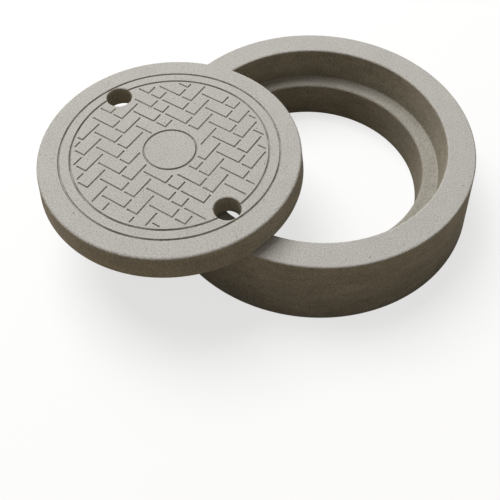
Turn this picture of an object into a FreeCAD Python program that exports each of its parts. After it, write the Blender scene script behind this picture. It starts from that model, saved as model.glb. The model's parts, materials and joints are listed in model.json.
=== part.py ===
"""Round concrete chamber cover: a cast frame ring with its cast lid lying on it.

Millimetres, +Z up.  The origin is the centre of the clear opening at the ring's
underside, and the ground is the plane Z = 0.
"""
import FreeCAD, Part
import math
import os

Vector = FreeCAD.Vector
UP = Vector(0, 0, 1)
CENTRE = Vector(0, 0, 0)

# Herringbone of square cells: a row repeats a level brick's two cells, then an upper and
# a lower cell of two upright bricks
BOND_CYCLE = 4
LEVEL_FIRST = 0
LEVEL_SECOND = 1
UPRIGHT_LOWER = 3

# Frame ring: a short pipe with a stepped bore that takes the lid
opening_radius = 200.0      # clear way down into the chamber
ledge_width = 28.0          # ledge that carries the seated lid
rebate_flare = 3.0          # how far the wall above the ledge opens towards the top
rim_width = 49.0            # top face between that wall and the outside
wall_flare = 16.0           # how far the outside wall spreads towards the ground
frame_height = 136.0
rebate_depth = 63.0         # from the top face down to the ledge
rim_edge = 4.0              # rounding of the top face's outer edge
rebate_edge = 4.0           # rounding of the top face's inner edge
ledge_corner = 3.0          # fillet between the ledge and the wall above it
ledge_edge = 5.0            # rounding of the ledge's inner edge
ground_edge = 3.0           # rounding of the outside edge on the ground

# Lid: a plain round slab, cast face down, with a patterned face
lid_clearance = 2.0         # all round, at the ledge
lid_flare = 6.0             # the slab widens this much from its face to its underside
lid_thickness = 46.0
face_edge = 5.0             # rounding of the face's edge
under_edge = 4.0            # rounding of the underside's edge

# Two lifting holes through the lid, on one line through its centre
hole_radius = 22.0
hole_inset = 61.0           # from the face's outline to a hole's centre
hole_mouth = 3.0            # rounding of a hole's upper edge
hole_bevel = 11.0           # how far a hole opens out at the underside, at 45 degrees

# Grooves cast into the face: two rings, a roundel and a herringbone of 2:1 bricks
border_width = 35.5         # plain border outside the outer ring groove
band_width = 18.5           # plain band between the two ring grooves
roundel_radius = 44.0
brick_width = 25.0
bond_turn = 19.0            # the bricks' turn against the line through the holes
ring_groove_width = 3.8     # of the rings and the roundel, at the face
joint_width = 3.0           # of the brick joints, at the face
groove_floor_share = 0.4    # flat bottom of a groove, as a share of its width
groove_depth_share = 0.74   # depth of a groove, as a share of its width
joint_land = 4.4            # uncut bridge where one joint stops short of another
border_land = 2.4           # uncut bridge between a joint and a ring, the roundel or a hole
shortest_joint = 9.0

# How the lid lies: flat on the ring's top face, slid aside as far as it still balances
balance_inset = 16.0        # from the ring's outer edge in to the lid's centre
slide_heading = 196.0       # direction in plan in which the lid is slid
lid_turn = 128.0            # direction in plan of the line through the holes
rest_gap = 0.2              # between the underside and the top face

seat_radius = opening_radius + ledge_width
rebate_radius = seat_radius + rebate_flare
rim_radius = rebate_radius + rim_width
ground_radius = rim_radius + wall_flare
ledge_height = frame_height - rebate_depth

under_radius = seat_radius - lid_clearance
face_radius = under_radius - lid_flare
hole_distance = face_radius - hole_inset
outer_groove = face_radius - border_width
inner_groove = outer_groove - band_width


def profile_point(radius, height):
    """Point of a section that is turned about Z."""
    return Vector(radius, 0, height)


def round_corner(before, corner, after, radius):
    """Arc that rounds one corner of an outline: its start, middle and end."""
    back = (before - corner).normalize()
    onward = (after - corner).normalize()
    half_angle = back.getAngle(onward) / 2
    inward = (back + onward).normalize()
    run = radius / math.tan(half_angle)
    centre = corner + inward * (radius / math.sin(half_angle))
    return corner + back * run, centre - inward * radius, corner + onward * run


def turned_solid(corners):
    """Solid turned about Z from a closed outline of (point, rounding) corners."""
    points = [point for point, rounding in corners]
    bends = []
    for index, (point, rounding) in enumerate(corners):
        after = points[(index + 1) % len(points)]
        bends.append(round_corner(points[index - 1], point, after, rounding))
    edges = []
    for index, (start, middle, end) in enumerate(bends):
        edges.append(Part.LineSegment(bends[index - 1][2], start).toShape())
        if corners[index][1] > 0:
            edges.append(Part.Arc(start, middle, end).toShape())
    return Part.Face(Part.Wire(edges)).revolve(CENTRE, UP, 360)


def frame_ring():
    """The ring: outside wall, top face, rebate, ledge and clear opening in one section."""
    return turned_solid([
        (profile_point(opening_radius, 0), 0),
        (profile_point(ground_radius, 0), ground_edge),
        (profile_point(rim_radius, frame_height), rim_edge),
        (profile_point(rebate_radius, frame_height), rebate_edge),
        (profile_point(seat_radius, ledge_height), ledge_corner),
        (profile_point(opening_radius, ledge_height), ledge_edge),
    ])


def lid_slab():
    """The lid's plain slab, underside on Z = 0."""
    return turned_solid([
        (profile_point(0, 0), 0),
        (profile_point(under_radius, 0), under_edge),
        (profile_point(face_radius, lid_thickness), face_edge),
        (profile_point(0, lid_thickness), 0),
    ])


def hole_centres():
    """Centres of the lifting holes in plan, on the lid's Y axis."""
    return [Vector(0, side * hole_distance, 0) for side in (1, -1)]


def hole_drill(centre):
    """Cutter for a lifting hole that opens out at the underside."""
    drill = turned_solid([
        (profile_point(0, 0), 0),
        (profile_point(hole_radius + hole_bevel, 0), 0),
        (profile_point(hole_radius, hole_bevel), 0),
        (profile_point(hole_radius, lid_thickness), 0),
        (profile_point(0, lid_thickness), 0),
    ])
    return drill.translated(centre)


def is_hole_mouth(edge):
    """Whether an edge is the upper end of a lifting hole."""
    curve = edge.Curve
    if not isinstance(curve, Part.Circle):
        return False
    return math.isclose(curve.Center.z, lid_thickness) and math.isclose(curve.Radius, hole_radius)


def drilled(slab):
    """The slab with its lifting holes, their upper edges rounded."""
    body = slab.cut([hole_drill(centre) for centre in hole_centres()])
    return body.makeFillet(hole_mouth, [edge for edge in body.Edges if is_hole_mouth(edge)])


def groove_section(width, place):
    """Section of a groove at the face, drawn with place(across, height)."""
    mouth = width / 2
    floor = mouth * groove_floor_share
    depth = width * groove_depth_share
    above = lid_thickness + depth
    below = lid_thickness - depth
    points = [
        place(-mouth, above),
        place(-mouth, lid_thickness),
        place(-floor, below),
        place(floor, below),
        place(mouth, lid_thickness),
        place(mouth, above),
    ]
    return Part.Face(Part.makePolygon(points + points[:1]))


def ring_groove(radius):
    """Cutter for a round groove."""
    section = groove_section(ring_groove_width, lambda across, height: Vector(radius + across, 0, height))
    return section.revolve(CENTRE, UP, 360)


def brick_joint(start, end):
    """Cutter for a straight joint between two points in plan."""
    run = end - start
    section = groove_section(joint_width, lambda across, height: Vector(0, across, height))
    cutter = section.extrude(Vector(run.Length, 0, 0))
    cutter.Placement = FreeCAD.Placement(start, FreeCAD.Rotation(Vector(1, 0, 0), run))
    return cutter


def bond_step(column, row):
    """A cell's place in the herringbone's cycle, which slips one cell past the middle."""
    step = column - row
    return (step if step <= 0 else step + 1) % BOND_CYCLE


def bricks(count):
    """Bricks of the herringbone: column and row of the first cell, cells along, cells up.

    Where the cycle slips, a level brick has lost its second cell.
    """
    for column in range(-count, count + 1):
        for row in range(-count, count + 1):
            step = bond_step(column, row)
            if step == LEVEL_FIRST:
                whole = bond_step(column + 1, row) == LEVEL_SECOND
                yield column, row, 2 if whole else 1, 1
            elif step == UPRIGHT_LOWER:
                yield column, row, 1, 2


def clear_stretches(offset, low, high, along, across):
    """Parts of a joint's line that keep clear of the rings, the roundel and the holes.

    The line runs parallel to along at offset from the centre, between low and high.
    """
    berth = joint_width / 2 + border_land
    reach = inner_groove - ring_groove_width / 2 - berth
    if abs(offset) >= reach:
        return []
    half_chord = math.sqrt(reach ** 2 - offset ** 2)
    stretches = [(max(low, -half_chord), min(high, half_chord))]
    keep_outs = [(CENTRE, roundel_radius + ring_groove_width / 2 + berth)]
    keep_outs += [(centre, hole_radius + hole_mouth + berth) for centre in hole_centres()]
    for centre, radius in keep_outs:
        aside = offset - centre.dot(across)
        if abs(aside) >= radius:
            continue
        half_chord = math.sqrt(radius ** 2 - aside ** 2)
        middle = centre.dot(along)
        cut = []
        for start, end in stretches:
            cut.append((start, min(end, middle - half_chord)))
            cut.append((max(start, middle + half_chord), end))
        stretches = cut
    return [(start, end) for start, end in stretches if end - start >= shortest_joint]


def herringbone_joints():
    """Cutters for the joints: an L along two sides of each brick, open at both its ends."""
    turn = math.radians(bond_turn)
    level = Vector(math.cos(turn), math.sin(turn), 0)
    upright = Vector(-math.sin(turn), math.cos(turn), 0)
    corner_lap = joint_width * (1 + groove_floor_share) / 4
    open_end = joint_width / 2 + joint_land
    cutters = []
    for column, row, cells_along, cells_up in bricks(math.ceil(inner_groove / brick_width)):
        left = (column - 0.5) * brick_width
        bottom = (row - 0.5) * brick_width
        sides = [
            (level, upright, bottom, left, cells_along),
            (upright, level, left, bottom, cells_up),
        ]
        for along, across, offset, corner, cells in sides:
            low = corner - corner_lap
            high = corner + cells * brick_width - open_end
            for start, end in clear_stretches(offset, low, high, along, across):
                base = across * offset
                cutters.append(brick_joint(base + along * start, base + along * end))
    return cutters


def lid():
    """The lid lying level, its holes on the Y axis."""
    rings = [ring_groove(radius) for radius in (outer_groove, inner_groove, roundel_radius)]
    return drilled(lid_slab()).cut(rings + herringbone_joints())


def slid_place():
    """Place of the lid: flat on the ring's top face, its centre just inside the outer edge."""
    aside = Vector(rim_radius - balance_inset, 0, frame_height + rest_gap)
    place = FreeCAD.Rotation(UP, slide_heading).multVec(aside)
    return FreeCAD.Placement(place, FreeCAD.Rotation(UP, lid_turn - 90))


def build():
    """Both castings, each exported under its own name."""
    slid_lid = lid()
    slid_lid.Placement = slid_place()
    os.makedirs("parts", exist_ok=True)
    frame_ring().exportStep("parts/frame_ring.step")
    slid_lid.exportStep("parts/lid.step")


build()
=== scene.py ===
"""Castings, finish and stage of the concrete chamber cover: a frame ring and its lid."""

import json
import math

import bmesh
import bpy
from bpy.props import FloatProperty, FloatVectorProperty, IntProperty, PointerProperty
from mathutils import Matrix, Vector


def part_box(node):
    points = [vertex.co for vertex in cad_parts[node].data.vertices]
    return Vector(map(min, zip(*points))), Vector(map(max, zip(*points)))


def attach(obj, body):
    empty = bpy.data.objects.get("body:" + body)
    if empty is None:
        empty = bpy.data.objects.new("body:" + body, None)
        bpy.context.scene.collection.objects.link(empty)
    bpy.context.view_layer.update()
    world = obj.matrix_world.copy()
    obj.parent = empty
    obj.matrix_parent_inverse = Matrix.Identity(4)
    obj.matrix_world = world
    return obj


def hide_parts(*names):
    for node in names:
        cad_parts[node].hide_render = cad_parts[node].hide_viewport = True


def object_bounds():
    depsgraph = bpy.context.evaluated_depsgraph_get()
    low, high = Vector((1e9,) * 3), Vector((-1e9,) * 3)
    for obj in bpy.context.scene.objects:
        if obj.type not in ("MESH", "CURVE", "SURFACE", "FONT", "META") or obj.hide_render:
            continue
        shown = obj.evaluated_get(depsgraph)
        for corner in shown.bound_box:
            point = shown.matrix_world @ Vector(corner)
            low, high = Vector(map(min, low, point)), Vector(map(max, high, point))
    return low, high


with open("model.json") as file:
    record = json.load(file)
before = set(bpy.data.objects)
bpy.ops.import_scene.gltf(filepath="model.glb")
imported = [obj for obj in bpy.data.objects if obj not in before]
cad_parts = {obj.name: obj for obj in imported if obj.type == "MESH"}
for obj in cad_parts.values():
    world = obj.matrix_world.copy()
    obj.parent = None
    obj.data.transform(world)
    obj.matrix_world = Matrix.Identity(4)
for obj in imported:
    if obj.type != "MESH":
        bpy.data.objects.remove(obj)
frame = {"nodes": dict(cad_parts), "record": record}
cad_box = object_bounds()

bl_info = {
    "name": "Concrete Chamber Cover",
    "version": (1, 0, 0),
    "blender": (4, 5, 0),
    "location": "View3D > Sidebar > Chamber Cover",
    "description": "Makes the ring and the lid of cast concrete and sets them on a pale floor",
    "category": "Object",
}

MILLIMETRE = 0.001
MERGE_DISTANCE = 0.001 * MILLIMETRE
SHARP_ANGLE = math.radians(40)      # turn between two faces past which their edge is hard


def linear(hex_colour):
    """Linear red, green and blue of an sRGB hex colour."""
    shares = [int(hex_colour[i:i + 2], 16) / 255 for i in (1, 3, 5)]
    return tuple(s / 12.92 if s <= 0.04045 else ((s + 0.055) / 1.055) ** 2.4 for s in shares)


def add_node(tree, kind, sockets=None, **settings):
    """New node with its settings, and its sockets set to values or linked to outputs."""
    node = tree.nodes.new(kind)
    for name, value in settings.items():
        setattr(node, name, value)
    for key, value in (sockets or {}).items():
        if isinstance(value, bpy.types.NodeSocket):
            tree.links.new(value, node.inputs[key])
        else:
            node.inputs[key].default_value = value
    return node


class SectionSettings(bpy.types.PropertyGroup):
    """Sections of the two castings, with the part's sizes."""

    ground_radius: FloatProperty(
        name="Ground radius", description="Radius of the outside wall at the ground",
        subtype="DISTANCE", unit="LENGTH", min=0.01, max=2, default=296 * MILLIMETRE)
    rim_radius: FloatProperty(
        name="Rim radius", description="Radius of the outside wall at the top face",
        subtype="DISTANCE", unit="LENGTH", min=0.01, max=2, default=280 * MILLIMETRE)
    rebate_radius: FloatProperty(
        name="Rebate radius", description="Radius of the rebate at the top face",
        subtype="DISTANCE", unit="LENGTH", min=0.01, max=2, default=231 * MILLIMETRE)
    seat_radius: FloatProperty(
        name="Seat radius", description="Radius of the rebate at the ledge",
        subtype="DISTANCE", unit="LENGTH", min=0.01, max=2, default=228 * MILLIMETRE)
    ledge_height: FloatProperty(
        name="Ledge height", description="Height of the ledge above the ground",
        subtype="DISTANCE", unit="LENGTH", min=0.001, max=1, default=73 * MILLIMETRE)
    ground_edge: FloatProperty(
        name="Ground edge", description="Rounding of the outside edge on the ground",
        subtype="DISTANCE", unit="LENGTH", min=0.0001, max=0.02, default=3 * MILLIMETRE)
    rim_edge: FloatProperty(
        name="Rim edges", description="Rounding of the top face's outer and inner edge",
        subtype="DISTANCE", unit="LENGTH", min=0.0001, max=0.02, default=4 * MILLIMETRE)
    ledge_corner: FloatProperty(
        name="Ledge corner", description="Fillet between the ledge and the rebate's wall",
        subtype="DISTANCE", unit="LENGTH", min=0.0001, max=0.02, default=3 * MILLIMETRE)
    ledge_edge: FloatProperty(
        name="Ledge edge", description="Rounding of the ledge's inner edge",
        subtype="DISTANCE", unit="LENGTH", min=0.0001, max=0.02, default=5 * MILLIMETRE)
    face_radius: FloatProperty(
        name="Lid face radius", description="Radius of the lid's side at its face",
        subtype="DISTANCE", unit="LENGTH", min=0.01, max=2, default=220 * MILLIMETRE)
    under_radius: FloatProperty(
        name="Lid underside radius", description="Radius of the lid's side at its underside",
        subtype="DISTANCE", unit="LENGTH", min=0.01, max=2, default=226 * MILLIMETRE)
    face_edge: FloatProperty(
        name="Lid face edge", description="Rounding of the lid's face",
        subtype="DISTANCE", unit="LENGTH", min=0.0001, max=0.02, default=5 * MILLIMETRE)
    under_edge: FloatProperty(
        name="Lid underside edge", description="Rounding of the lid's underside",
        subtype="DISTANCE", unit="LENGTH", min=0.0001, max=0.02, default=4 * MILLIMETRE)
    groove_field: FloatProperty(
        name="Groove field", description="Radius of the part of the lid's face that has grooves",
        subtype="DISTANCE", unit="LENGTH", min=0, max=1, default=200 * MILLIMETRE)
    arc_steps: IntProperty(
        name="Arc steps", description="Steps along each rounding", min=1, max=32, default=8)
    turn_steps: IntProperty(
        name="Turn steps", description="Steps round a casting", min=8, max=1024, default=256)


class ConcreteSettings(bpy.types.PropertyGroup):
    """Colours, grain, wear and painted shade of the cast concrete."""

    face_colour: FloatVectorProperty(
        name="Face", description="Dry, pale cement skin of the level faces",
        subtype="COLOR", min=0, max=1, default=linear("#B6B4AF"))
    # Partly painted shade: upright surfaces and level ones below the face take this darker, browner
    # colour, partly the mould's skin and partly the shade that falls on them
    side_skin_and_shade_colour: FloatVectorProperty(
        name="Mould side", description="Browner skin of the surfaces that the mould formed",
        subtype="COLOR", min=0, max=1, default=linear("#9F9888"))
    # Partly dust, partly painted shade: the dark colour put into the grooves and the air holes
    dust_and_shade_colour: FloatVectorProperty(
        name="Dirt", description="Dust held in grooves and air holes",
        subtype="COLOR", min=0, max=1, default=linear("#4A4843"))
    # Partly painted shade: level surfaces below the face, such as the recessed ledge, take some of the
    # darker side colour
    skin_and_shade_depth: FloatProperty(
        name="Pale depth", description="How far below its face a casting keeps the pale skin",
        subtype="DISTANCE", unit="LENGTH", min=0.001, max=0.1, default=12 * MILLIMETRE)
    ledge_skin_and_shade_share: FloatProperty(
        name="Ledge", description="How much a level surface below the face has of the mould side",
        subtype="FACTOR", min=0, max=1, default=0.55)
    hole_reach: FloatProperty(
        name="Hole reach", description="Radius round a lifting hole that has no grooves",
        subtype="DISTANCE", unit="LENGTH", min=0, max=1, default=26 * MILLIMETRE)
    # Partly dust, partly painted shade in the grooves
    dust_and_shade_depth: FloatProperty(
        name="Dust depth", description="Depth below the face at which a groove holds most dust",
        subtype="DISTANCE", unit="LENGTH", min=0.0001, max=0.01, default=2 * MILLIMETRE)
    dust_and_shade_share: FloatProperty(
        name="Dust", description="Most of a groove's colour that is dust",
        subtype="FACTOR", min=0, max=1, default=0.75)
    # Painted shade: the castings darken towards the ground, up to the foot height
    foot_height: FloatProperty(
        name="Foot", description="Height above the ground up to which the wall darkens",
        subtype="DISTANCE", unit="LENGTH", min=0.001, max=1, default=130 * MILLIMETRE)
    foot_shade: FloatProperty(
        name="Foot shade", description="Brightness of the wall at the ground, against the rest",
        subtype="FACTOR", min=0, max=1, default=0.66)
    mottle_size: FloatProperty(
        name="Mottling", description="Width of the cloudy patches",
        subtype="DISTANCE", unit="LENGTH", min=0.005, max=0.5, default=60 * MILLIMETRE)
    grain_size: FloatProperty(
        name="Sand grain", description="Width of the larger sand grains in the skin",
        subtype="DISTANCE", unit="LENGTH", min=0.0002, max=0.01, default=2.4 * MILLIMETRE)
    grain_height: FloatProperty(
        name="Grain height", description="How far the sand stands out of the cement",
        subtype="DISTANCE", unit="LENGTH", min=0, max=0.005, default=0.5 * MILLIMETRE)
    stone_spacing: FloatProperty(
        name="Stone spacing", description="Cell in which a dark or a light stone may show",
        subtype="DISTANCE", unit="LENGTH", min=0.001, max=0.1, default=3.6 * MILLIMETRE)
    dark_stone_share: FloatProperty(
        name="Dark stones", description="Share of those cells that have a dark stone",
        subtype="FACTOR", min=0, max=0.5, default=0.07)
    light_stone_share: FloatProperty(
        name="Light stones", description="Share of those cells that have a light stone",
        subtype="FACTOR", min=0, max=0.5, default=0.05)
    dark_stone_tone: FloatProperty(
        name="Dark stone tone", description="Brightness of a dark stone, against the cement",
        subtype="FACTOR", min=0, max=1, default=0.68)
    light_stone_tone: FloatProperty(
        name="Light stone tone", description="Brightness of a light stone, against the cement",
        subtype="FACTOR", min=1, max=2, default=1.13)
    air_hole_spacing: FloatProperty(
        name="Air hole spacing", description="Cell in which an air bubble may have left a hole",
        subtype="DISTANCE", unit="LENGTH", min=0.002, max=0.2, default=13 * MILLIMETRE)
    air_hole_share: FloatProperty(
        name="Air holes", description="Share of those cells that have a hole",
        subtype="FACTOR", min=0, max=1, default=0.14)
    air_hole_radius: FloatProperty(
        name="Air hole radius", description="Radius of such a hole",
        subtype="DISTANCE", unit="LENGTH", min=0.0002, max=0.01, default=1.2 * MILLIMETRE)
    chip_spacing: FloatProperty(
        name="Chip spacing", description="Length of edge in which a chip may have broken off",
        subtype="DISTANCE", unit="LENGTH", min=0.002, max=0.2, default=9 * MILLIMETRE)


class StageSettings(bpy.types.PropertyGroup):
    """Floor, light and camera."""

    floor_size: FloatProperty(
        name="Floor", description="Side of the square floor",
        subtype="DISTANCE", unit="LENGTH", min=1, max=100, default=16)
    floor_colour: FloatVectorProperty(
        name="Floor colour", description="Pale floor as it is seen",
        subtype="COLOR", min=0, max=1, default=linear("#FFFFFF"))
    bounce_colour: FloatVectorProperty(
        name="Bounce", description="Light that the floor sends back up to the walls",
        subtype="COLOR", min=0, max=1, default=linear("#9A8D7A"))
    floor_glow: FloatProperty(
        name="Shadow lift", description="Share of the floor's white that a shadow doesn't darken",
        subtype="FACTOR", min=0, max=1, default=0.7)
    shadow_reach: FloatProperty(
        name="Shadow reach", description="Distance from the ring past which the floor is plain white",
        subtype="DISTANCE", unit="LENGTH", min=0.1, max=50, default=2)
    key_place: FloatVectorProperty(
        name="Key light", description="Centre of the soft key light, above and behind to the left",
        subtype="TRANSLATION", unit="LENGTH", default=(-2, 2.7, 5.2))
    key_size: FloatProperty(
        name="Key size", description="Side of the square key light",
        subtype="DISTANCE", unit="LENGTH", min=0.1, max=20, default=4.2)
    key_power: FloatProperty(
        name="Key power", description="Power of the key light", unit="POWER", min=0, max=5000,
        default=408)
    sky_colour: FloatVectorProperty(
        name="Room light", description="Faint light from all round",
        subtype="COLOR", min=0, max=1, default=linear("#FFF6EA"))
    sky_strength: FloatProperty(
        name="Room light strength", description="Strength of the light from all round",
        subtype="FACTOR", min=0, max=2, default=0.2)
    camera_place: FloatVectorProperty(
        name="Camera", description="Place of the camera",
        subtype="TRANSLATION", unit="LENGTH", default=(-0.12103, -0.83263, 1.00579))
    camera_tilt: FloatProperty(
        name="Camera tilt", description="Turn up from looking straight down",
        subtype="ANGLE", unit="ROTATION", default=0.5938)
    camera_roll: FloatProperty(
        name="Camera roll", description="Turn about the line of sight",
        subtype="ANGLE", unit="ROTATION", default=-0.00524)
    camera_lens: FloatProperty(
        name="Lens", description="Focal length on a 36 mm sensor",
        unit="CAMERA", min=1, max=500, default=47.77)


def mount(name):
    """One of the record's mounts."""
    return next(m for m in frame["record"]["mounts"] if m["name"] == name)


def face_axes(node_name, middle, along):
    """A casting's own frame: centre of its upper face, with X in a direction in plan."""
    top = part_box(node_name)[1].z
    turn = Vector((1, 0, 0)).rotation_difference(Vector((along.x, along.y, 0)))
    return Matrix.Translation((middle.x, middle.y, top)) @ turn.to_matrix().to_4x4()


def rounded_section(corners, arc_steps):
    """Points of a closed section of (corner, rounding) pairs, sharp where the rounding is 0."""
    points = []
    for index, (corner, rounding) in enumerate(corners):
        if rounding == 0:
            points.append(corner)
            continue
        back = (corners[index - 1][0] - corner).normalized()
        onward = (corners[(index + 1) % len(corners)][0] - corner).normalized()
        half_angle = back.angle(onward) / 2
        run = rounding / math.tan(half_angle)
        centre = corner + (back + onward).normalized() * (rounding / math.sin(half_angle))
        first = corner + back * run - centre
        last = corner + onward * run - centre
        for step in range(arc_steps + 1):
            points.append(centre + first.slerp(last, step / arc_steps).normalized() * rounding)
    return points


def copied_shape(node):
    """Shape with the faces of a CAD node's mesh, whose loose triangles are merged."""
    shape = bmesh.new()
    # Face by face, because the normals stored in the mesh would hide its hard edges
    corners = [shape.verts.new(vertex.co) for vertex in node.data.vertices]
    for face in node.data.polygons:
        shape.faces.new([corners[index] for index in face.vertices])
    bmesh.ops.remove_doubles(shape, verts=shape.verts, dist=MERGE_DISTANCE)
    return shape


def turn_section(shape, section, turn_steps, closed=True):
    """Add the faces that a section of (radius, height) points makes when turned about Z."""
    points = [shape.verts.new((point.x, 0, point.y)) for point in section]
    first = 0 if closed else 1
    lines = [shape.edges.new((points[i - 1], points[i])) for i in range(first, len(points))]
    bmesh.ops.spin(
        shape, geom=points + lines, axis=(0, 0, 1), angle=2 * math.pi, steps=turn_steps,
        use_merge=True)


def ring_shape(opening_radius, sizes):
    """The frame ring as a closed shape, turned from its section."""
    ground, top = (corner.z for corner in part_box("frame_ring"))
    section = rounded_section([
        (Vector((opening_radius, ground)), 0),
        (Vector((sizes.ground_radius, ground)), sizes.ground_edge),
        (Vector((sizes.rim_radius, top)), sizes.rim_edge),
        (Vector((sizes.rebate_radius, top)), sizes.rim_edge),
        (Vector((sizes.seat_radius, sizes.ledge_height)), sizes.ledge_corner),
        (Vector((opening_radius, sizes.ledge_height)), sizes.ledge_edge),
    ], sizes.arc_steps)
    shape = bmesh.new()
    turn_section(shape, section, sizes.turn_steps)
    return shape


def lid_shape(axes, sizes):
    """The lid as a closed shape: the CAD mesh's grooved field and holes in a new outside.

    Its border, side and underside are taken off, and the side is turned again from its
    section. The border and the underside are then filled in.
    """
    low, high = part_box("lid")
    under = low.z - high.z
    near_under = under + MILLIMETRE
    shape = copied_shape(frame["nodes"]["lid"])
    shape.transform(axes.inverted())
    outside = [
        face for face in shape.faces
        if any(vertex.co.xy.length > sizes.groove_field for vertex in face.verts)
        or all(vertex.co.z < near_under for vertex in face.verts)]
    bmesh.ops.delete(shape, geom=outside, context="FACES")
    section = rounded_section([
        (Vector((0, 0)), 0),
        (Vector((sizes.face_radius, 0)), sizes.face_edge),
        (Vector((sizes.under_radius, under)), sizes.under_edge),
        (Vector((0, under)), 0),
    ], sizes.arc_steps)
    side = section[1:-1]
    turn_section(shape, side, sizes.turn_steps, closed=False)
    open_edges = [edge for edge in shape.edges if edge.is_boundary]
    border = [edge for edge in open_edges if edge.verts[0].co.z > near_under]
    underside = [edge for edge in open_edges if edge.verts[0].co.z < near_under]
    for outline in (border, underside):
        bmesh.ops.triangle_fill(shape, edges=outline, use_beauty=True)
    shape.transform(axes)
    return shape


def show_casting(scene, name, shape, node_name, material):
    """Show a closed shape in place of a CAD node, smooth but sharp at its hard edges."""
    bmesh.ops.recalc_face_normals(shape, faces=shape.faces)
    if shape.calc_volume(signed=True) < 0:
        bmesh.ops.reverse_faces(shape, faces=shape.faces)
    mesh = bpy.data.meshes.new(name)
    shape.to_mesh(mesh)
    shape.free()
    mesh.shade_smooth()
    mesh.set_sharp_from_angle(angle=SHARP_ANGLE)
    mesh.materials.append(material)
    piece = bpy.data.objects.new(name, mesh)
    scene.collection.objects.link(piece)
    # The flat faces keep their own normals up to the roundings
    piece.modifiers.new("Even shading", "WEIGHTED_NORMAL").keep_sharp = True
    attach(piece, "root")
    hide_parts(node_name)


def tone(tree, noise, depth):
    """Value near 1 that a noise varies, by a depth."""
    swing = add_node(tree, "ShaderNodeMath", {0: noise, 1: 0.5}, operation="SUBTRACT").outputs[0]
    return add_node(
        tree, "ShaderNodeMath", {0: swing, 1: depth, 2: 1}, operation="MULTIPLY_ADD").outputs[0]


def grooved_part(tree, own, settings, groove_field, hole_distance):
    """1 on the grooved field of a face, without the lifting holes on its X axis."""
    flat_place = add_node(
        tree, "ShaderNodeVectorMath", {0: own, 1: (1, 1, 0)}, operation="MULTIPLY").outputs["Vector"]
    radius = add_node(
        tree, "ShaderNodeVectorMath", {0: flat_place}, operation="LENGTH").outputs["Value"]
    inside = add_node(
        tree, "ShaderNodeMath", {0: radius, 1: groove_field}, operation="LESS_THAN").outputs[0]
    folded = add_node(
        tree, "ShaderNodeVectorMath", {0: flat_place}, operation="ABSOLUTE").outputs["Vector"]
    to_hole = add_node(
        tree, "ShaderNodeVectorMath", {0: folded, 1: (hole_distance, 0, 0)},
        operation="DISTANCE").outputs["Value"]
    beside_hole = add_node(
        tree, "ShaderNodeMath", {0: to_hole, 1: settings.hole_reach},
        operation="GREATER_THAN").outputs[0]
    return add_node(
        tree, "ShaderNodeMath", {0: inside, 1: beside_hole}, operation="MULTIPLY").outputs[0]


def mould_skin_and_shade_share(tree, height, upright, grooved, settings):
    """How much of the darker, browner side colour shows: where upright, or level below the face; partly
    the mould's skin, partly painted shade on the sides and the recessed ledge.
    """
    below = add_node(
        tree, "ShaderNodeMapRange",
        {"Value": height, "From Min": 0, "From Max": -settings.skin_and_shade_depth,
         "To Max": settings.ledge_skin_and_shade_share}).outputs["Result"]
    off_face_skin_and_shade = add_node(
        tree, "ShaderNodeMath", {0: upright, 1: below}, operation="MAXIMUM").outputs[0]
    return add_node(
        tree, "ShaderNodeMix", {"Factor": grooved, "A": off_face_skin_and_shade, "B": 0},
        data_type="FLOAT").outputs["Result"]


def cement_clouds(tree, own, upright, settings):
    """Clouds in the cement, drawn out round the walls where it was tamped in layers."""
    layered = add_node(
        tree, "ShaderNodeMapping", {"Vector": own, "Scale": (1, 1, 3)}).outputs["Vector"]
    cloud_place = add_node(
        tree, "ShaderNodeMix", {"Factor": upright, "A": own, "B": layered},
        data_type="VECTOR").outputs["Result"]
    return add_node(
        tree, "ShaderNodeTexNoise",
        {"Vector": cloud_place, "Scale": 1 / settings.mottle_size, "Detail": 6,
         "Roughness": 0.65}).outputs["Fac"]


def stone_tones(tree, own, grains, settings):
    """Tone of the stones: one cell in several has a dark or a light one, ragged by the sand."""
    ragged = add_node(
        tree, "ShaderNodeVectorMath",
        {0: grains.outputs["Color"], 1: (2 * settings.grain_size,) * 3, 2: own},
        operation="MULTIPLY_ADD").outputs["Vector"]
    stones = add_node(
        tree, "ShaderNodeTexVoronoi", {"Vector": ragged, "Scale": 1 / settings.stone_spacing})
    kind = add_node(
        tree, "ShaderNodeSeparateColor", {"Color": stones.outputs["Color"]}).outputs["Green"]
    tones = add_node(tree, "ShaderNodeValToRGB", {"Fac": kind})
    dark = settings.dark_stone_tone
    light = settings.light_stone_tone
    ramp = tones.color_ramp
    ramp.interpolation = "CONSTANT"
    ramp.elements[0].color = (dark, dark, dark, 1)
    ramp.elements[1].position = settings.dark_stone_share
    ramp.elements[1].color = (1, 1, 1, 1)
    ramp.elements.new(1 - settings.light_stone_share).color = (light, light, light, 1)
    disc = add_node(
        tree, "ShaderNodeMapRange",
        {"Value": stones.outputs["Distance"], "From Min": 0.4, "From Max": 0.25}).outputs["Result"]
    return add_node(
        tree, "ShaderNodeMix",
        {"Factor": disc, "A": (1, 1, 1, 1), "B": tones.outputs["Color"]},
        data_type="RGBA").outputs["Result"]


def air_holes(tree, own, settings):
    """1 in the small round holes that air bubbles left in some of the cells."""
    bubbles = add_node(
        tree, "ShaderNodeTexVoronoi", {"Vector": own, "Scale": 1 / settings.air_hole_spacing})
    kind = add_node(
        tree, "ShaderNodeSeparateColor", {"Color": bubbles.outputs["Color"]}).outputs["Green"]
    edge = settings.air_hole_radius / settings.air_hole_spacing
    disc = add_node(
        tree, "ShaderNodeMapRange",
        {"Value": bubbles.outputs["Distance"], "From Min": edge, "From Max": edge * 0.5},
        interpolation_type="SMOOTHSTEP").outputs["Result"]
    kept = add_node(
        tree, "ShaderNodeMath", {0: kind, 1: 1 - settings.air_hole_share},
        operation="GREATER_THAN").outputs[0]
    return add_node(tree, "ShaderNodeMath", {0: disc, 1: kept}, operation="MULTIPLY").outputs[0]


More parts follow.
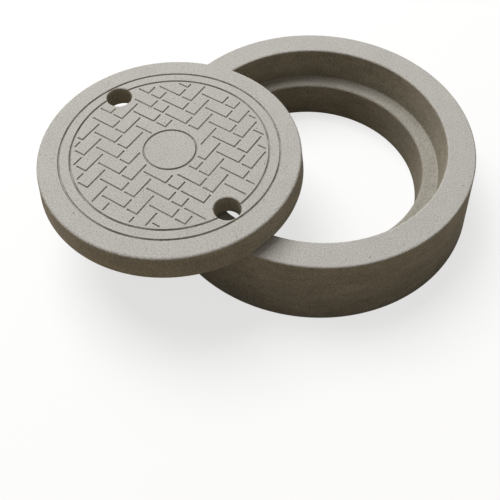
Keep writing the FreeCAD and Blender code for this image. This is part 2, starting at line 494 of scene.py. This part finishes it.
def edge_wear(tree, own, upright, settings):
    """How rubbed a surface is where a face rounds off into a side, and the chips there."""
    turning = add_node(
        tree, "ShaderNodeMath", {0: upright, 1: 0.5}, operation="PINGPONG").outputs[0]
    rubbed = add_node(
        tree, "ShaderNodeMapRange", {"Value": turning, "From Min": 0, "From Max": 0.35},
        interpolation_type="SMOOTHSTEP").outputs["Result"]
    knocks = add_node(
        tree, "ShaderNodeTexNoise",
        {"Vector": own, "Scale": 1 / settings.chip_spacing, "Detail": 2, "Roughness": 0.6})
    knocked = add_node(
        tree, "ShaderNodeMapRange",
        {"Value": knocks.outputs["Fac"], "From Min": 0.66, "From Max": 0.74},
        interpolation_type="SMOOTHSTEP").outputs["Result"]
    chip = add_node(tree, "ShaderNodeMath", {0: rubbed, 1: knocked}, operation="MULTIPLY").outputs[0]
    return rubbed, chip


def groove_dust_and_shade_share(tree, height, grooved, clouds, settings):
    """Share of dust and painted shade in the grooves, more in some places than in others."""
    sunken = add_node(
        tree, "ShaderNodeMapRange",
        {"Value": height, "From Min": 0, "From Max": -settings.dust_and_shade_depth}).outputs["Result"]
    groove = add_node(tree, "ShaderNodeMath", {0: sunken, 1: grooved}, operation="MULTIPLY").outputs[0]
    dust_and_shade_amount = add_node(
        tree, "ShaderNodeMapRange",
        {"Value": clouds, "From Min": 0.35, "From Max": 0.65,
         "To Max": settings.dust_and_shade_share}).outputs["Result"]
    return add_node(tree, "ShaderNodeMath", {0: groove, 1: dust_and_shade_amount}, operation="MULTIPLY").outputs[0]


def cast_concrete(name, place, settings, groove_field=0, hole_distance=0):
    """Cast concrete of cement and sand.

    A dry, matt, pale grey skin with sand grains in it, cloudy where the cement settled,
    browner and darker where upright or level below the face, partly as the mould's skin
    and partly as painted shade, rubbed at its edges, with dark and light stones, a few
    small air holes and grooves darkened by dust and painted shade, and painted shade
    that darkens it towards the ground.
    """
    material = bpy.data.materials.new(name)
    material.use_nodes = True
    tree = material.node_tree
    tree.nodes.clear()

    # Where a point is in the casting's own frame, and how steep the surface is there
    where = add_node(tree, "ShaderNodeTexCoord").outputs["Object"]
    own = add_node(
        tree, "ShaderNodeMapping",
        {"Vector": where, "Location": place.translation, "Rotation": place.to_euler()},
        vector_type="TEXTURE").outputs["Vector"]
    height = add_node(tree, "ShaderNodeSeparateXYZ", {"Vector": own}).outputs["Z"]
    facing = add_node(tree, "ShaderNodeNewGeometry").outputs["Normal"]
    slope = add_node(tree, "ShaderNodeSeparateXYZ", {"Vector": facing}).outputs["Z"]
    level = add_node(tree, "ShaderNodeMath", {0: slope}, operation="ABSOLUTE").outputs[0]
    upright = add_node(
        tree, "ShaderNodeMapRange", {"Value": level, "From Min": 0.9, "From Max": 0.3},
        interpolation_type="SMOOTHSTEP").outputs["Result"]

    # What the surface has on it, with the painted shade of its sides, ledges and grooves
    grooved = grooved_part(tree, own, settings, groove_field, hole_distance)
    mould_skin_and_shade = mould_skin_and_shade_share(tree, height, upright, grooved, settings)
    clouds = cement_clouds(tree, own, upright, settings)
    grains = add_node(
        tree, "ShaderNodeTexNoise",
        {"Vector": own, "Scale": 1 / settings.grain_size, "Detail": 4, "Roughness": 0.6})
    stones = stone_tones(tree, own, grains, settings)
    air_hole = air_holes(tree, own, settings)
    rubbed, chip = edge_wear(tree, own, upright, settings)
    groove_dust_and_shade = groove_dust_and_shade_share(tree, height, grooved, clouds, settings)

    # Colour: the mould side shows more of the clouds and the sand, and painted shade darkens the castings
    # towards the ground
    # The side colour is partly the mould's skin and partly painted shade on upright and recessed surfaces
    skin = add_node(
        tree, "ShaderNodeMix",
        {"Factor": mould_skin_and_shade, "A": (*settings.face_colour, 1), "B": (*settings.side_skin_and_shade_colour, 1)},
        data_type="RGBA").outputs["Result"]
    cloud_depth = add_node(
        tree, "ShaderNodeMapRange", {"Value": mould_skin_and_shade, "To Min": 0.2, "To Max": 0.75}).outputs["Result"]
    grain_depth = add_node(
        tree, "ShaderNodeMapRange", {"Value": mould_skin_and_shade, "To Min": 1.3, "To Max": 2}).outputs["Result"]
    # Painted shade: darker towards the ground, where the floor shades the walls
    ground_height = add_node(tree, "ShaderNodeSeparateXYZ", {"Vector": where}).outputs["Z"]
    painted_foot_shade = add_node(
        tree, "ShaderNodeMapRange",
        {"Value": ground_height, "From Max": settings.foot_height, "To Min": settings.foot_shade},
        interpolation_type="SMOOTHSTEP").outputs["Result"]
    cloud_tone = tone(tree, clouds, cloud_depth)
    grain_tone = tone(tree, grains.outputs["Fac"], grain_depth)
    toned = skin
    for factor in (cloud_tone, grain_tone, painted_foot_shade):
        toned = add_node(
            tree, "ShaderNodeVectorMath", {0: toned, "Scale": factor}, operation="SCALE").outputs["Vector"]
    stony = add_node(
        tree, "ShaderNodeVectorMath", {0: toned, 1: stones}, operation="MULTIPLY").outputs["Vector"]
    # Dust and painted shade darken the air holes and the grooves
    dust_and_shade = add_node(tree, "ShaderNodeMath", {0: air_hole, 1: groove_dust_and_shade}, operation="MAXIMUM").outputs[0]
    colour = add_node(
        tree, "ShaderNodeMix",
        {"Factor": dust_and_shade, "A": stony, "B": (*settings.dust_and_shade_colour, 1)},
        data_type="RGBA").outputs["Result"]

    # Relief: the grains stand proud, less where an edge is rubbed, and holes and chips are sunk
    sand = add_node(
        tree, "ShaderNodeTexNoise",
        {"Vector": own, "Scale": 0.7 / settings.grain_size, "Detail": 3, "Roughness": 0.65})
    grain_stand = add_node(
        tree, "ShaderNodeMapRange", {"Value": rubbed, "To Min": 1.4, "To Max": 0.5}).outputs["Result"]
    raised = tone(tree, sand.outputs["Fac"], grain_stand)
    hollow = add_node(
        tree, "ShaderNodeMath", {0: air_hole, 1: chip}, operation="MAXIMUM").outputs[0]
    sunk = add_node(
        tree, "ShaderNodeMath", {0: hollow, 1: -1.5, 2: raised}, operation="MULTIPLY_ADD").outputs[0]
    relief = add_node(
        tree, "ShaderNodeBump", {"Height": sunk, "Strength": 1, "Distance": settings.grain_height})

    # Matt all over, a little smoother where the cement lies thick
    roughness = add_node(
        tree, "ShaderNodeMapRange", {"Value": clouds, "To Min": 0.98, "To Max": 0.84}).outputs["Result"]
    shader = add_node(
        tree, "ShaderNodeBsdfPrincipled",
        {"Base Color": colour, "Roughness": roughness, "IOR": 1.5, "Specular IOR Level": 0.25,
         "Normal": relief.outputs["Normal"]})
    add_node(tree, "ShaderNodeOutputMaterial", {"Surface": shader.outputs["BSDF"]})
    return material


class CHAMBER_OT_turn_frame_ring(bpy.types.Operator):
    """Turn the frame ring with even, smooth edges and give it its cast concrete"""

    bl_idname = "chamber_cover.turn_frame_ring"
    bl_label = "Turn Frame Ring"

    def execute(self, context):
        scene = context.scene
        opening = mount("clear_opening")
        shape = ring_shape(opening["dims"]["r_mm"] * MILLIMETRE, scene.chamber_sections)
        axes = face_axes("frame_ring", Vector(opening["pos_m"]), Vector((1, 0, 0)))
        concrete = cast_concrete("Cast concrete, ring", axes, scene.chamber_concrete)
        show_casting(scene, "ring_casting", shape, "frame_ring", concrete)
        return {"FINISHED"}


class CHAMBER_OT_edge_lid(bpy.types.Operator):
    """Give the lid an even, smooth edge round its grooved field, and its cast concrete"""

    bl_idname = "chamber_cover.edge_lid"
    bl_label = "Edge Lid"

    def execute(self, context):
        scene = context.scene
        sizes = scene.chamber_sections
        far = Vector(mount("lifting_hole_far")["pos_m"])
        near = Vector(mount("lifting_hole_near")["pos_m"])
        axes = face_axes("lid", (far + near) / 2, far - near)
        hole_distance = (far - near).length / 2
        concrete = cast_concrete(
            "Cast concrete, lid", axes, scene.chamber_concrete, sizes.groove_field, hole_distance)
        show_casting(scene, "lid_casting", lid_shape(axes, sizes), "lid", concrete)
        return {"FINISHED"}


def background_rays(tree):
    """1 for the rays that show the background: straight, mirrored or through glass."""
    path = add_node(tree, "ShaderNodeLightPath").outputs
    turned = add_node(
        tree, "ShaderNodeMath", {0: path["Is Glossy Ray"], 1: path["Is Transmission Ray"]},
        operation="MAXIMUM").outputs[0]
    return add_node(
        tree, "ShaderNodeMath", {0: path["Is Camera Ray"], 1: turned}, operation="MAXIMUM").outputs[0]


def pale_floor(settings):
    """Studio floor: seen white, with the object's shadow on it near the object."""
    material = bpy.data.materials.new("Pale floor")
    material.use_nodes = True
    tree = material.node_tree
    tree.nodes.clear()
    seen = background_rays(tree)
    white = Vector(settings.floor_colour)
    shadowed = add_node(
        tree, "ShaderNodeBsdfDiffuse", {"Color": (*(white * (1 - settings.floor_glow)), 1)})
    steady = add_node(
        tree, "ShaderNodeEmission", {"Color": (*white, 1), "Strength": settings.floor_glow})
    pale = add_node(
        tree, "ShaderNodeAddShader", {0: shadowed.outputs[0], 1: steady.outputs[0]})
    where = add_node(tree, "ShaderNodeTexCoord").outputs["Object"]
    away = add_node(tree, "ShaderNodeVectorMath", {0: where}, operation="LENGTH").outputs["Value"]
    clear = add_node(
        tree, "ShaderNodeMapRange",
        {"Value": away, "From Min": settings.shadow_reach / 2, "From Max": settings.shadow_reach},
        interpolation_type="SMOOTHSTEP").outputs["Result"]
    backdrop = add_node(tree, "ShaderNodeEmission", {"Color": (*white, 1), "Strength": 1})
    faded = add_node(
        tree, "ShaderNodeMixShader", {"Fac": clear, 1: pale.outputs[0], 2: backdrop.outputs[0]})
    bounce = add_node(tree, "ShaderNodeBsdfDiffuse", {"Color": (*settings.bounce_colour, 1)})
    chosen = add_node(
        tree, "ShaderNodeMixShader", {"Fac": seen, 1: bounce.outputs[0], 2: faded.outputs[0]})
    add_node(tree, "ShaderNodeOutputMaterial", {"Surface": chosen.outputs[0]})
    return material


def studio_world(settings):
    """Faint light from all round, behind a white background."""
    world = bpy.data.worlds.new("Studio")
    world.use_nodes = True
    tree = world.node_tree
    tree.nodes.clear()
    seen = background_rays(tree)
    room = add_node(
        tree, "ShaderNodeBackground",
        {"Color": (*settings.sky_colour, 1), "Strength": settings.sky_strength})
    backdrop = add_node(
        tree, "ShaderNodeBackground", {"Color": (*settings.floor_colour, 1), "Strength": 1})
    chosen = add_node(
        tree, "ShaderNodeMixShader", {"Fac": seen, 1: room.outputs[0], 2: backdrop.outputs[0]})
    add_node(tree, "ShaderNodeOutputWorld", {"Surface": chosen.outputs[0]})
    return world


class CHAMBER_OT_stage(bpy.types.Operator):
    """Set the floor, the light and the camera"""

    bl_idname = "chamber_cover.stage"
    bl_label = "Set Stage"

    def execute(self, context):
        scene = context.scene
        settings = scene.chamber_stage

        shape = bmesh.new()
        bmesh.ops.create_grid(shape, x_segments=1, y_segments=1, size=settings.floor_size / 2)
        mesh = bpy.data.meshes.new("floor")
        shape.to_mesh(mesh)
        shape.free()
        mesh.materials.append(pale_floor(settings))
        floor = bpy.data.objects.new("floor", mesh)
        scene.collection.objects.link(floor)

        low, high = cad_box
        middle = (low + high) / 2
        lamp = bpy.data.lights.new("key_light", "AREA")
        lamp.size = settings.key_size
        lamp.energy = settings.key_power
        key = bpy.data.objects.new("key_light", lamp)
        key.location = settings.key_place
        key.rotation_euler = (middle - key.location).to_track_quat("-Z", "Y").to_euler()
        scene.collection.objects.link(key)

        scene.world = studio_world(settings)

        lens = bpy.data.cameras.new("camera")
        lens.sensor_width = 36
        lens.lens = settings.camera_lens
        lens.clip_start = 0.05
        camera = bpy.data.objects.new("camera", lens)
        tilt = Matrix.Rotation(settings.camera_tilt, 4, "X")
        roll = Matrix.Rotation(settings.camera_roll, 4, "Z")
        camera.matrix_world = Matrix.Translation(settings.camera_place) @ tilt @ roll
        scene.collection.objects.link(camera)
        scene.camera = camera

        scene.view_settings.view_transform = "Standard"
        return {"FINISHED"}


class CHAMBER_PT_panel(bpy.types.Panel):
    """Sizes, colours and steps of the chamber cover"""

    bl_idname = "CHAMBER_PT_panel"
    bl_label = "Chamber Cover"
    bl_space_type = "VIEW_3D"
    bl_region_type = "UI"
    bl_category = "Chamber Cover"

    def draw(self, context):
        scene = context.scene
        for settings in (scene.chamber_sections, scene.chamber_concrete, scene.chamber_stage):
            box = self.layout.box()
            for name in settings.bl_rna.properties.keys():
                if name not in {"rna_type", "name"}:
                    box.prop(settings, name)
        for operator in OPERATORS:
            self.layout.operator(operator.bl_idname)


OPERATORS = (CHAMBER_OT_turn_frame_ring, CHAMBER_OT_edge_lid, CHAMBER_OT_stage)
CLASSES = (SectionSettings, ConcreteSettings, StageSettings, *OPERATORS, CHAMBER_PT_panel)


def register():
    for cls in CLASSES:
        bpy.utils.register_class(cls)
    bpy.types.Scene.chamber_sections = PointerProperty(type=SectionSettings)
    bpy.types.Scene.chamber_concrete = PointerProperty(type=ConcreteSettings)
    bpy.types.Scene.chamber_stage = PointerProperty(type=StageSettings)


def unregister():
    del bpy.types.Scene.chamber_stage
    del bpy.types.Scene.chamber_concrete
    del bpy.types.Scene.chamber_sections
    for cls in reversed(CLASSES):
        bpy.utils.unregister_class(cls)


def main():
    """Register, make both castings and set the stage."""
    register()
    bpy.ops.chamber_cover.turn_frame_ring()
    bpy.ops.chamber_cover.edge_lid()
    bpy.ops.chamber_cover.stage()


if __name__ == "__main__":
    main()
